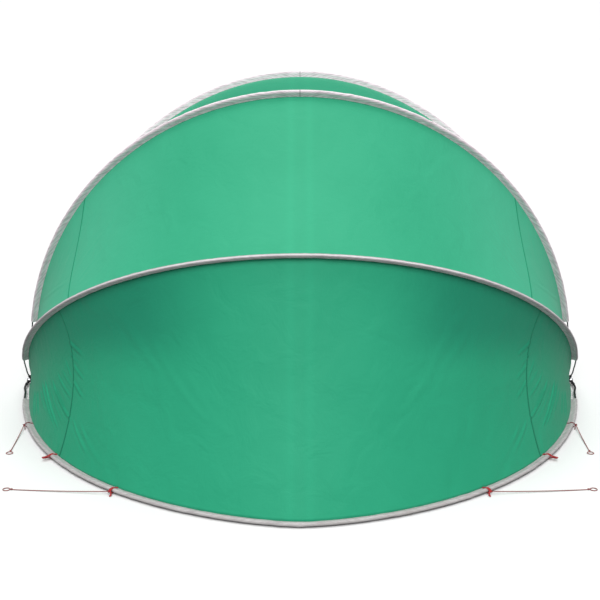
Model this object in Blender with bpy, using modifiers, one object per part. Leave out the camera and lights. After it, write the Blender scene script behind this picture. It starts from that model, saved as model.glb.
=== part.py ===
"""Hooped clamshell camping shelter: a fan of poles on two side hubs, under sewn fabric panels.

Metres and degrees, +Z up. The closed back faces -Y and the open front +Y. The origin is on the
ground, at the middle of the shelter. Every hoop turns about one axis through both hubs, along X.
A hoop's angle is 0 where it lies on the ground at the back and 180 where it lies at the front.
"""

from math import asin, cos, degrees, pi, radians, sin

import bmesh
import bpy
from mathutils import Matrix, Vector

# ---------------------------------------------------------------- driving dimensions
HALF_WIDTH = 1.105      # middle of the shelter to the outermost pole end
LANE = 0.012            # pitch of the pole ends stacked along each hub bolt
HUB_HEIGHT = 0.014
GROUND_DROP = 0.0036    # how far the ground hoops come down from the hubs to their middles

# (reach, splay of the leg, straightness of the leg, flatness of the crown) of a pole's curve
BACK_CURVE = (1.369, -0.090, 1.225, 0.125)
HOOP_CURVE = (1.310, -0.015, 0.808, 0.547)
HOOP_ANGLES = (35.0, 66.7, 113.3)

GAP = 0.0003            # clearance between pieces that touch
BASE_POLE_RADIUS = 0.00395
HOOP_POLE_RADIUS = 0.0027
FERRULE_FIT = 0.00035   # ferrule bore beyond the pole
FERRULE_WALL = 0.0004
FERRULE_LENGTH = 0.09

SOCKET_EYE_RADIUS = 0.010
SOCKET_WIDTH = 0.0114
SOCKET_LENGTH = 0.055
SOCKET_FIT = 0.00065    # socket bore beyond the pole
POLE_START = 0.018      # distance from the hub axis to the end of a pole in its socket
POLE_STRAIGHT = 0.005   # how far the pole runs on straight past its socket
BARE_POINT = 0.12       # a point on the bare pole between socket and sleeve
BOLT_RADIUS = 0.003
BOLT_BORE = 0.0035
BOLT_HEAD_RADIUS = 0.008
BOLT_HEAD_DEPTH = 0.004
BOLT_HEAD_BEVEL = 0.0012
NUT_DEPTH = 0.009
THREAD_SHARE = 0.6      # how much of the nut the thread fills
TURN_STEPS = 12

# distance along the pole from the hub to where its sleeve begins
BASE_SLEEVE_START = 0.245
REAR_SLEEVE_START = 0.28
TOP_SLEEVE_START = 0.31
SLEEVE_RADIUS = 0.0063
SLEEVE_BORE = 0.0053
SLEEVE_TAIL = 0.022     # pole centre to the seam
SLEEVE_THROAT = 0.003   # from the round of the sleeve to where its two layers meet
CLOTH = 0.0012          # thickness of the panels
FLOOR_THICKNESS = 0.001
SEAM_SETBACK = 0.027    # pole centre to a panel's edge
PANEL_START = 0.03      # where a panel begins along the pole
PANEL_STOPS = (0.08, 0.14)  # a panel's points between there and the sleeve
SEAM_STATION = 4        # sleeve station that the side panels' seams run along
STATIONS = 12           # stations on half a sleeve
CROWN_SPAN = 0.065      # last station to the middle of the crown
PANEL_ROWS = 4

STRAP_THICKNESS = 0.0014
STRAP_BACK_HALF = 0.0025    # half height of the strap's inner face behind the seam
CORD_RADIUS = 0.0015
RING_RADIUS = 0.011
CORD_POINTS = 16
RING_SIDES = 12
# (distance along the back pole, strap width, how far its nose stands out, end of its cord)
SIDE_STRAP = (0.530, 0.005, 0.004, (1.005, -0.731))
BACK_STRAP = (1.256, 0.011, 0.005, (0.928, -1.059))
PEG_LOOP = (0.872, 0.011, 0.026, None)


# ---------------------------------------------------------------- scene and materials
def clear_scene():
    for old in list(bpy.data.objects):
        bpy.data.objects.remove(old)


def new_collection(name):
    collection = bpy.data.collections.new(name)
    bpy.context.scene.collection.children.link(collection)
    return collection


def material(name, color, roughness, metallic=0.0):
    made = bpy.data.materials.get(name)
    if made is None:
        made = bpy.data.materials.new(name)
        made.use_nodes = True
        shader = made.node_tree.nodes["Principled BSDF"]
        shader.inputs["Base Color"].default_value = (*color, 1.0)
        shader.inputs["Roughness"].default_value = roughness
        shader.inputs["Metallic"].default_value = metallic
    return made


MATERIALS = {
    "canopy": ((0.04, 0.38, 0.22), 0.7),
    "binding": ((0.55, 0.56, 0.57), 0.75),
    "floor": ((0.42, 0.44, 0.45), 0.6),
    "pole": ((0.012, 0.012, 0.013), 0.35),
    "socket": ((0.015, 0.015, 0.016), 0.45),
    "ferrule": ((0.6, 0.6, 0.61), 0.3, 1.0),
    "bolt": ((0.55, 0.56, 0.58), 0.3, 1.0),
    "strap": ((0.5, 0.02, 0.025), 0.7),
    "cord": ((0.45, 0.05, 0.05), 0.7),
}


def add(name, data, look, parent=None, place=None):
    """One sub-part: an object with its own material, under its body's empty."""
    made = bpy.data.objects.new(name, data)
    if parent is not None:
        made.parent = parent
    if place is not None:
        made.matrix_local = place
    parts.objects.link(made)
    data.materials.append(material(look + "_" + name, *MATERIALS[look]))
    if made.type == "MESH":
        data.shade_smooth()
        data.set_sharp_from_angle(angle=radians(35))
    return made


def new_guide(name, data, parent=None, place=None):
    """A cutter or a profile: kept in its own collection and never shown."""
    made = bpy.data.objects.new(name, data)
    made.parent = parent
    if place is not None:
        made.matrix_local = place
    guides.objects.link(made)
    made.hide_render = True
    made.display_type = "WIRE"
    return made


# ---------------------------------------------------------------- the curve of a hoop
class Hoop:
    """Half of a hoop's curve in its own plane: x across the shelter, r away from the hub axis."""

    def __init__(self, name, angle, lane, curve, pole_radius, sleeve_start):
        self.name, self.angle = name, angle
        self.pole_radius, self.sleeve_start = pole_radius, sleeve_start
        reach, splay, leg, crown = curve
        foot = Vector((HALF_WIDTH - lane * LANE, 0))
        leg_end = foot + leg * Vector((sin(splay), cos(splay)))
        self.controls = (foot, leg_end, Vector((crown, reach)), Vector((0, reach)))
        self.table = self.measure(400)
        self.length = self.table[-1][0]

    def bezier(self, t):
        a, b, c, d = self.controls
        return (1 - t) ** 3 * a + 3 * (1 - t) ** 2 * t * b + 3 * (1 - t) * t * t * c + t ** 3 * d

    def slope(self, t):
        a, b, c, d = self.controls
        run = 3 * (1 - t) ** 2 * (b - a) + 6 * (1 - t) * t * (c - b) + 3 * t * t * (d - c)
        return run.normalized()

    def measure(self, steps):
        rows, total, last = [(0.0, 0.0)], 0.0, self.controls[0]
        for i in range(1, steps + 1):
            point = self.bezier(i / steps)
            total += (point - last).length
            rows.append((total, i / steps))
            last = point
        return rows

    def parameter(self, distance):
        """The curve's parameter at a distance along it from the hub."""
        for (s0, t0), (s1, t1) in zip(self.table, self.table[1:]):
            if s1 >= distance:
                return t0 + (t1 - t0) * (distance - s0) / (s1 - s0)
        return 1.0

    def inward(self, distance, offset):
        """The point offset from the pole's centre line towards the inside of the hoop."""
        t = self.parameter(distance)
        run = self.slope(t)
        return self.bezier(t) + offset * Vector((-run.y, run.x))

    def sleeve_distances(self):
        span = self.length - CROWN_SPAN - self.sleeve_start
        return [self.sleeve_start + span * i / (STATIONS - 1) for i in range(STATIONS)]

    def right_side(self, distances, offset=0.0):
        return [self.inward(s, offset) for s in distances]

    def whole(self, distances, offset=0.0):
        """Points from the left hub over the crown to the right hub."""
        right = self.right_side(distances, offset)
        return [Vector((-p.x, p.y)) for p in right] + right[::-1]

    def world(self, point, off_plane=0.0):
        """A point of the hoop's plane in the shelter's frame; off_plane is towards a larger angle."""
        turn = radians(self.angle)
        out = Vector((0, -cos(turn), sin(turn)))
        side = Vector((0, sin(turn), cos(turn)))
        return HUB + Vector((point.x, 0, 0)) + out * point.y + side * off_plane

    def crown(self):
        """Distance from the hub axis to the straight stretch in the middle of the crown."""
        return self.right_side(self.sleeve_distances())[-1].y


def make_hoops():
    def drop_angle(reach):
        return degrees(asin(GROUND_DROP / reach))

    rear, middle, front = HOOP_ANGLES
    rows = (
        ("back_base", -drop_angle(BACK_CURVE[0]), BACK_CURVE, BASE_POLE_RADIUS, BASE_SLEEVE_START),
        ("rear_hoop", rear, HOOP_CURVE, HOOP_POLE_RADIUS, REAR_SLEEVE_START),
        ("middle_hoop", middle, HOOP_CURVE, HOOP_POLE_RADIUS, TOP_SLEEVE_START),
        ("front_hoop", front, HOOP_CURVE, HOOP_POLE_RADIUS, TOP_SLEEVE_START),
        ("front_base", 180 + drop_angle(HOOP_CURVE[0]), HOOP_CURVE, BASE_POLE_RADIUS,
         BASE_SLEEVE_START),
    )
    return {
        name: Hoop(name, angle, lane, curve, pole_radius, sleeve_start)
        for lane, (name, angle, curve, pole_radius, sleeve_start) in enumerate(rows)
    }


HOOPS = make_hoops()
HUB_Y = (HOOPS["back_base"].crown() - HOOPS["front_base"].crown()) / 2
HUB = Vector((0, HUB_Y, HUB_HEIGHT))


def body_empty(hoop):
    """The hoop's joint: at the hub axis, turned so that its own +Y runs out along the hoop."""
    made = bpy.data.objects.new(hoop.name + "_axis", None)
    made.location = HUB
    made.rotation_euler = (pi - radians(hoop.angle), 0, 0)
    parts.objects.link(made)
    return made


# ---------------------------------------------------------------- curves and solids
def path_curve(name, points, radius=0.0, profile=None, resolution=2):
    """A tube, or a profile swept along the path, with closed ends."""
    data = bpy.data.curves.new(name, "CURVE")
    data.dimensions = "3D"
    data.twist_mode = "Z_UP"
    data.use_fill_caps = True
    spline = data.splines.new("POLY")
    spline.points.add(len(points) - 1)
    for slot, point in zip(spline.points, points):
        slot.co = (*point.to_3d(), 1.0)
    if profile is None:
        data.bevel_depth = radius
        data.bevel_resolution = resolution
    else:
        data.bevel_mode = "OBJECT"
        data.bevel_object = profile
    return data


def flat_curve(name, outlines, half_height=0.0):
    """A flat outline, the later ones being holes in it, with a height."""
    data = bpy.data.curves.new(name, "CURVE")
    data.dimensions = "2D"
    data.fill_mode = "BOTH" if half_height else "NONE"
    data.extrude = half_height
    for outline in outlines:
        spline = data.splines.new("POLY")
        spline.points.add(len(outline) - 1)
        for slot, point in zip(spline.points, outline):
            slot.co = (point[0], point[1], 0.0, 1.0)
        spline.use_cyclic_u = True
    return data


def as_mesh(curve, name, matrix):
    """The curve's own surface as a welded mesh, for cutting."""
    holder = bpy.data.objects.new(name + "_curve", curve)
    bpy.context.scene.collection.objects.link(holder)
    bpy.context.view_layer.update()
    depsgraph = bpy.context.evaluated_depsgraph_get()
    mesh = bpy.data.meshes.new_from_object(holder.evaluated_get(depsgraph))
    bpy.data.objects.remove(holder)
    shape = bmesh.new()
    shape.from_mesh(mesh)
    bmesh.ops.remove_doubles(shape, verts=shape.verts, dist=1e-6)
    bmesh.ops.recalc_face_normals(shape, faces=shape.faces)
    shape.to_mesh(mesh)
    shape.free()
    mesh.transform(matrix)
    return mesh


def rod(name, radius, start, end, sides):
    """A cylinder between two points."""
    shape = bmesh.new()
    run = end - start
    turn = Vector((0, 0, 1)).rotation_difference(run).to_matrix().to_4x4()
    place = Matrix.Translation((start + end) / 2) @ turn
    bmesh.ops.create_cone(shape, cap_ends=True, segments=sides, radius1=radius, radius2=radius,
                          depth=run.length, matrix=place)
    mesh = bpy.data.meshes.new(name)
    shape.to_mesh(mesh)
    shape.free()
    return mesh


def boolean(target, tool, operation):
    change = target.modifiers.new(operation.lower() + "_" + tool.name, "BOOLEAN")
    change.operation = operation
    change.solver = "EXACT"
    change.object = tool


def outline_mesh(name, profile):
    """A profile of (radius, height) points, for add_screw to turn about Z."""
    mesh = bpy.data.meshes.new(name)
    edges = [(i, i + 1) for i in range(len(profile) - 1)]
    mesh.from_pydata([(r, 0, h) for r, h in profile], edges, [])
    return mesh


def add_screw(target):
    screw = target.modifiers.new("turn", "SCREW")
    screw.steps = TURN_STEPS
    screw.render_steps = TURN_STEPS
    screw.use_merge_vertices = True
    screw.merge_threshold = 0.00005


# ---------------------------------------------------------------- poles, ferrules, sockets
def pole_points(hoop, side):
    """From the socket to the middle of the crown, where the two halves meet in the ferrule."""
    foot = hoop.controls[0]
    straight = (POLE_START + GAP, SOCKET_LENGTH + POLE_STRAIGHT)
    points = [foot + Vector((0, r)) for r in straight]
    points += hoop.right_side([BARE_POINT] + hoop.sleeve_distances())
    points.append(Vector((GAP, points[-1].y)))
    return [Vector((side * p.x, p.y)) for p in points]


def add_poles(hoop, parent):
    for side, word in ((-1, "left"), (1, "right")):
        name = f"{hoop.name}_pole_{word}"
        tube = path_curve(name, pole_points(hoop, side), hoop.pole_radius, resolution=1)
        add(name, tube, "pole", parent)


def add_ferrule(hoop, parent):
    """A metal tube over the joint of the two pole halves."""
    height = hoop.crown()
    bore_radius = hoop.pole_radius + FERRULE_FIT
    outer_radius = bore_radius + FERRULE_WALL
    name = hoop.name + "_ferrule"
    ends = [Vector((x * FERRULE_LENGTH / 2, height)) for x in (-1, 1)]
    tube = as_mesh(path_curve(name, ends, outer_radius), name, Matrix.Identity(4))
    ends = [Vector((x * FERRULE_LENGTH, height)) for x in (-1, 1)]
    bore = as_mesh(path_curve(name + "_bore", ends, bore_radius), name, Matrix.Identity(4))
    made = add(name, tube, "ferrule", parent)
    boolean(made, new_guide(name + "_bore", bore, parent), "DIFFERENCE")


def add_sockets(hoop, parent):
    """The moulded end of each pole: an eye on the hub bolt and a tube that holds the pole."""
    for side, word in ((-1, "left"), (1, "right")):
        name = f"{hoop.name}_socket_{word}"
        foot = Vector((side * hoop.controls[0].x, 0, 0))
        run = Vector((0, 1, 0))
        across = Vector((SOCKET_WIDTH / 2, 0, 0))
        eye = rod(name, SOCKET_EYE_RADIUS, foot - across, foot + across, 16)
        made = add(name, eye, "socket", parent)
        tube = rod(name, SOCKET_WIDTH / 2, foot, foot + run * SOCKET_LENGTH, 12)
        boolean(made, new_guide(name + "_tube", tube, parent), "UNION")
        bore_radius = hoop.pole_radius + SOCKET_FIT
        bore_end = foot + run * (SOCKET_LENGTH + SOCKET_EYE_RADIUS)
        bore = rod(name, bore_radius, foot + run * POLE_START, bore_end, 10)
        boolean(made, new_guide(name + "_pole_bore", bore, parent), "DIFFERENCE")
        bolt = rod(name, BOLT_BORE, foot - across * 2, foot + across * 2, 10)
        boolean(made, new_guide(name + "_bolt_bore", bolt, parent), "DIFFERENCE")


def add_hub_bolts(lanes):
    """A headed bolt through each hub's stack of eyes, and the cap nut on its inner end."""
    outer = SOCKET_WIDTH / 2 + GAP
    inner = (lanes - 1) * LANE + SOCKET_WIDTH / 2 + GAP
    thread_end = -(inner + NUT_DEPTH * THREAD_SHARE)
    head = outer + BOLT_HEAD_DEPTH
    bolt_profile = [
        (0, head), (BOLT_HEAD_RADIUS - BOLT_HEAD_BEVEL, head),
        (BOLT_HEAD_RADIUS, head - BOLT_HEAD_BEVEL),
        (BOLT_HEAD_RADIUS, outer), (BOLT_RADIUS, outer), (BOLT_RADIUS, thread_end), (0, thread_end),
    ]
    nut_profile = [
        (0, thread_end - GAP), (BOLT_BORE, thread_end - GAP), (BOLT_BORE, -inner),
        (BOLT_HEAD_RADIUS, -inner), (BOLT_HEAD_RADIUS, -inner - NUT_DEPTH / 2),
        (BOLT_HEAD_RADIUS / 2, -inner - NUT_DEPTH), (0, -inner - NUT_DEPTH),
    ]
    for side, word in ((-1, "left"), (1, "right")):
        turn = Matrix.Rotation(side * pi / 2, 4, "Y")
        place = Matrix.Translation(HUB + Vector((side * HALF_WIDTH, 0, 0))) @ turn
        for name, profile in (("hub_bolt_", bolt_profile), ("hub_nut_", nut_profile)):
            made = add(name + word, outline_mesh(name + word, profile), "bolt", None, place)
            add_screw(made)


# ---------------------------------------------------------------- fabric
def sleeve_profile():
    """A strip folded round the pole, its two layers meeting at the seam; x is towards the seam."""
    layer = SLEEVE_RADIUS - SLEEVE_BORE
    turns = [radians(a) for a in (75, 120, 180, 240, 285)]
    outer = [(SLEEVE_RADIUS * cos(a), SLEEVE_RADIUS * sin(a)) for a in turns]
    inner = [(SLEEVE_BORE * cos(a), SLEEVE_BORE * sin(a)) for a in turns[::-1]]
    lip = GAP / 2
    throat = SLEEVE_RADIUS + SLEEVE_THROAT
    outline = outer + [(SLEEVE_TAIL, -layer - lip), (SLEEVE_TAIL, -lip), (throat, -lip)]
    outline += inner + [(throat, lip), (SLEEVE_TAIL, lip), (SLEEVE_TAIL, layer + lip)]
    return new_guide("sleeve_profile", flat_curve("sleeve_profile", [outline[::-1]]))


def add_sleeve(hoop, parent, profile):
    name = hoop.name + "_sleeve"
    points = hoop.whole(hoop.sleeve_distances())
    add(name, path_curve(name, points, profile=profile), "binding", parent)


def panel_mesh(name, low, high):
    """A cloth surface stretched straight between two edges of matching points."""
    rows = [[a.lerp(b, j / PANEL_ROWS) for a, b in zip(low, high)] for j in range(PANEL_ROWS + 1)]
    count = len(low)
    verts = [p for row in rows for p in row]
    faces = []
    for j in range(PANEL_ROWS):
        for i in range(count - 1):
            corner = j * count + i
            faces.append((corner, corner + 1, corner + count + 1, corner + count))
    mesh = bpy.data.meshes.new(name)
    mesh.from_pydata(verts, [], faces)
    return mesh


def panel_edge(hoop, distances, off_plane):
    return [hoop.world(p, off_plane) for p in hoop.right_side(distances, SEAM_SETBACK)]


def pull_apart(edge, first):
    """Sets one end of an edge back by the gap between two sewn panels."""
    index, other = (0, 1) if first else (-1, -2)
    edge[index] = edge[index] + (edge[other] - edge[index]).normalized() * GAP * 1.5


def mirrored(edge):
    return [Vector((-p.x, p.y, p.z)) for p in edge]


def add_panels(name, lower, upper):
    """The cloth between two hoops: a wide middle panel and a side panel at each hub."""
    edges = []
    for hoop, off_plane in ((lower, CLOTH * 1.3), (upper, -CLOTH * 1.3)):
        far = hoop.sleeve_distances()
        near = [PANEL_START, *PANEL_STOPS] + far[: SEAM_STATION + 1]
        side_edge = panel_edge(hoop, near, off_plane)
        pull_apart(side_edge, False)
        half = panel_edge(hoop, far[SEAM_STATION:], off_plane)
        pull_apart(half, True)
        edges.append((side_edge, mirrored(half) + half[::-1]))
    (side_low, middle_low), (side_high, middle_high) = edges
    shapes = {
        "middle": (middle_low, middle_high),
        "left": (mirrored(side_low), mirrored(side_high)),
        "right": (side_low, side_high),
    }
    for word, (low, high) in shapes.items():
        mesh = panel_mesh(f"{name}_{word}", low, high)
        made = add(f"{name}_{word}", mesh, "canopy")
        cloth = made.modifiers.new("cloth", "SOLIDIFY")
        cloth.thickness = CLOTH
        cloth.offset = 0.0


def add_floor(hoop, parent):
    """The groundsheet inside one ground hoop, up to the fold on the hub axis."""
    name = hoop.name + "_floor"
    distances = [PANEL_START, BARE_POINT] + hoop.sleeve_distances()
    edge = [hoop.world(p) for p in hoop.whole(distances, SEAM_SETBACK + GAP)]
    toward = -1 if hoop.angle < 90 else 1
    fold = HUB_Y + toward * CLOTH * 2
    outline = [(edge[0].x, fold)] + [(p.x, p.y) for p in edge] + [(edge[-1].x, fold)]
    data = flat_curve(name, [outline], FLOOR_THICKNESS / 2)
    made = add(name, data, "floor", None, Matrix.Translation((0, 0, FLOOR_THICKNESS / 2)))
    made.parent = parent
    bpy.context.view_layer.update()
    made.matrix_parent_inverse = parent.matrix_world.inverted()


# ---------------------------------------------------------------- straps and guy lines
def strap_outlines(nose):
    """A webbing band round the hem's section, as (outer, inner); x is away from the shelter."""
    inner_r = SLEEVE_RADIUS + GAP
    outer_r = inner_r + STRAP_THICKNESS
    back = -(SLEEVE_TAIL + GAP)

    def around(radius, end):
        arc = [radians(a) for a in range(-90, 91, 30)]
        nose_points = [(nose + radius * cos(a), radius * sin(a)) for a in arc]
        half = STRAP_BACK_HALF + radius - inner_r
        return nose_points + [(0, radius), (end, half), (end, -half), (0, -radius)]

    return around(outer_r, back - STRAP_THICKNESS), around(inner_r, back)


def strap_place(hoop, distance, side):
    """The frame of a strap on a straight stretch of the hem: x outward, y up, z along the pole."""
    stops = hoop.sleeve_distances()
    before = max(i for i, stop in enumerate(stops) if stop <= distance)
    start, end = hoop.right_side(stops[before: before + 2])
    share = (distance - stops[before]) / (stops[before + 1] - stops[before])
    point = start.lerp(end, share)
    origin = hoop.world(Vector((side * point.x, point.y)))
    ahead = hoop.world(Vector((side * end.x, end.y)))
    along = (ahead - origin).normalized()
    up = hoop.world(Vector((0, 0)), 1.0) - hoop.world(Vector((0, 0)))
    out = along.cross(up) if side < 0 else up.cross(along)
    place = Matrix((out, up, out.cross(up))).transposed().to_4x4()
    return Matrix.Translation(origin) @ place


def add_strap(name, spec, side, hoop):
    distance, width, nose, _ = spec
    place = strap_place(hoop, distance, side)
    add(name, flat_curve(name, strap_outlines(nose), width / 2), "strap", None, place)
    return place


def guy_points(start, end):
    """A taut line with a slight sag, from the strap down to the ground."""
    points = []
    for i in range(CORD_POINTS):
        t = i / (CORD_POINTS - 1)
        point = start.lerp(end, t)
        point.z = end.z + (start.z - end.z) * (1 - t) ** 2
        points.append(point)
    return points


def add_guy_line(name, spec, side, place):
    """The cord from a strap's nose to the ring that a peg goes through."""
    nose, end = spec[2], spec[3]
    reach = nose + SLEEVE_RADIUS + STRAP_THICKNESS + CORD_RADIUS + 2 * GAP
    start = place @ Vector((reach, 0, 0))
    end = Vector((side * end[0], end[1], CORD_RADIUS + GAP))
    run = (end - start).normalized()
    add(name, path_curve(name, guy_points(start, end), CORD_RADIUS), "cord")
    flat_run = Vector((run.x, run.y, 0)).normalized()
    center = end + flat_run * (RING_RADIUS + CORD_RADIUS + GAP)
    turns = [2 * pi * i / RING_SIDES for i in range(RING_SIDES)]
    circle = [Vector((RING_RADIUS * cos(a), RING_RADIUS * sin(a))) for a in turns]
    ring = path_curve(name + "_ring", circle, CORD_RADIUS, resolution=1)
    ring.splines[0].use_cyclic_u = True
    add(name + "_ring", ring, "cord", None, Matrix.Translation(center))


# ---------------------------------------------------------------- the shelter
def build():
    profile = sleeve_profile()
    empties = {}
    for name, hoop in HOOPS.items():
        empties[name] = body_empty(hoop)
        add_poles(hoop, empties[name])
        add_ferrule(hoop, empties[name])
        add_sockets(hoop, empties[name])
        add_sleeve(hoop, empties[name], profile)
    add_hub_bolts(len(HOOPS))
    add_panels("back_panel", HOOPS["back_base"], HOOPS["rear_hoop"])
    add_panels("roof_panel", HOOPS["rear_hoop"], HOOPS["middle_hoop"])
    add_panels("front_panel", HOOPS["middle_hoop"], HOOPS["front_hoop"])
    add_floor(HOOPS["back_base"], empties["back_base"])
    add_floor(HOOPS["front_base"], empties["front_base"])
    for side, word in ((-1, "left"), (1, "right")):
        base = HOOPS["back_base"]
        add_strap("peg_loop_" + word, PEG_LOOP, side, base)
        for kind, spec in (("side", SIDE_STRAP), ("back", BACK_STRAP)):
            place = add_strap(f"{kind}_strap_{word}", spec, side, base)
            add_guy_line(f"{kind}_guy_{word}", spec, side, place)


clear_scene()
parts = new_collection("camping_shelter")
guides = new_collection("guides")
build()
bpy.context.view_layer.update()
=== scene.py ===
"""Looks of the hooped camping shelter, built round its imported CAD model. Metres, +Z up.

The closed back faces -Y and the camera, the open front +Y. Five hoops turn about one axis
through both side hubs. Cloth is stretched between the hoops and sewn into their sleeves.
"""

from contextlib import contextmanager
from math import asin, cos, degrees, pi, radians, sin

import bmesh
import bpy
import numpy as np
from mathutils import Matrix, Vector


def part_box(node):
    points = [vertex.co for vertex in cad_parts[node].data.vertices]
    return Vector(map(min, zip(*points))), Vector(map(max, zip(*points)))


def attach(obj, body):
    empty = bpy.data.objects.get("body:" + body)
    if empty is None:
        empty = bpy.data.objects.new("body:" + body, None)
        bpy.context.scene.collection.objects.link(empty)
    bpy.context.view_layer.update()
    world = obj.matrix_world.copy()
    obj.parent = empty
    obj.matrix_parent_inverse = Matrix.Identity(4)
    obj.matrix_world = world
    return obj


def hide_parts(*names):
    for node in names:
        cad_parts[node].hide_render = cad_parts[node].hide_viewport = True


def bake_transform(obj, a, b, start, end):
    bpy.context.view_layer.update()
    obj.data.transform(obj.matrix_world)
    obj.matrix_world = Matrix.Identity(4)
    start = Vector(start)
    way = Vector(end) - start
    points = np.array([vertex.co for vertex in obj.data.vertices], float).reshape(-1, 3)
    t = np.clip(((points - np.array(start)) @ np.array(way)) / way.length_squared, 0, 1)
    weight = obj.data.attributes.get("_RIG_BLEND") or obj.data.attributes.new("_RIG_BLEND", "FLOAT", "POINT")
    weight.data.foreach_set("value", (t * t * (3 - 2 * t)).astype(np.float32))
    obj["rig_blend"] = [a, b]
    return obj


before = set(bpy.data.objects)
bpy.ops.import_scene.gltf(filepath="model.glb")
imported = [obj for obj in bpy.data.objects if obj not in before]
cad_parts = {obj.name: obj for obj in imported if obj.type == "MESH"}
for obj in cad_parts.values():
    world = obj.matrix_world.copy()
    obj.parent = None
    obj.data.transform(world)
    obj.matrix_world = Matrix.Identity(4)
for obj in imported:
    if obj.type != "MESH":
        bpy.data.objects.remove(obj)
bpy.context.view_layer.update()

# ---------------- sizes the CAD model is built from
HALF_WIDTH = 1.105      # middle of the shelter to the outermost pole end
LANE = 0.012            # pitch of the pole ends stacked along each hub bolt
GROUND_DROP = 0.0036    # how far the ground hoops come down from the hubs to their middles
# (reach, splay of the leg, straightness of the leg, flatness of the crown) of a pole's curve
BACK_CURVE = (1.369, -0.090, 1.225, 0.125)
HOOP_CURVE = (1.310, -0.015, 0.808, 0.547)
REAR_ANGLE, MIDDLE_ANGLE, FRONT_ANGLE = 35.0, 66.7, 113.3
BASE_POLE_RADIUS = 0.00395
HOOP_POLE_RADIUS = 0.0027
BASE_SLEEVE_START = 0.245
REAR_SLEEVE_START = 0.28
TOP_SLEEVE_START = 0.31
SOCKET_LENGTH = 0.055
POLE_START = 0.0183     # the hub's axis to the pole's end
POLE_STRAIGHT = 0.06    # the pole leaves its socket straight, and is on its curve by POLE_CURVED
POLE_CURVED = 0.16
SLEEVE_RADIUS = 0.0063
SLEEVE_TAIL = 0.022     # pole centre to the edge of the sleeve's seam
STRAP_THICKNESS = 0.0014
CORD_RADIUS = 0.0015
RING_RADIUS = 0.011
CORD_POINTS = 16
GAP = 0.0003            # between pieces that touch, and between a pole's halves
# (distance along the back pole, strap width, how far its nose stands out, end of its cord)
SIDE_TIE = (0.530, 0.005, 0.004, (1.005, -0.731))
BACK_TIE = (1.256, 0.011, 0.005, (0.928, -1.059))
PEG_LOOP = (0.872, 0.011, 0.026, None)

# ---------------- sizes of the looks
PANEL_START = 0.062     # where the cloth begins along the pole, clear of the folded sockets
EDGE_NEAR_HUB = 0.009   # pole to the cloth's edge at the hub
EDGE_IN_SEAM = 0.0185   # pole to the cloth's edge, inside the sleeve's seam
CLOTH = 0.0004          # thickness of the canopy
SEAM_SLOT = 0.0007      # half the gap between the sleeve's two layers
BINDING = 0.0005        # thickness of the sleeve's cloth
GORE_ROWS = 81
FINE_STEP, COARSE_STEP = 0.004, 0.016       # columns of the cloth, finer where it is pulled
HUB_STEP = 0.012
FINE_FROM, FINE_TO = 0.42, 1.06
SEAM_WIDTH = 0.009
SEAM_RISE = (0.0, 0.0006, 0.0008, 0.0006, 0.0)      # its height across, over the cloth
STITCH_PITCH = 0.0042
STREAK_SLANT = radians(24)                  # the sleeve's pulled creases, off its length
STREAK_LENGTH, STREAK_WIDTH = 0.050, 0.0052
FOLD_HIGHLIGHT_WIDTH = 0.014    # painted highlight band beside the canopy's fold
SLEEVE_STEP = 0.006
FLOOR_CLOTH = 0.0006    # thickness of the groundsheet
FLOOR_RINGS = 46
FLOOR_RIPPLE = 0.0012
FLOOR_FOLD = 0.015      # the groundsheet bends over this far on each side of the hubs' axis

low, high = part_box("hub_bolt_right")
HUB = np.array((0.0, (low.y + high.y) / 2, (low.z + high.z) / 2))
INSIDE = HUB + (0, 0, 0.25)     # a point inside the shelter, which its cloth faces away from


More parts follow.
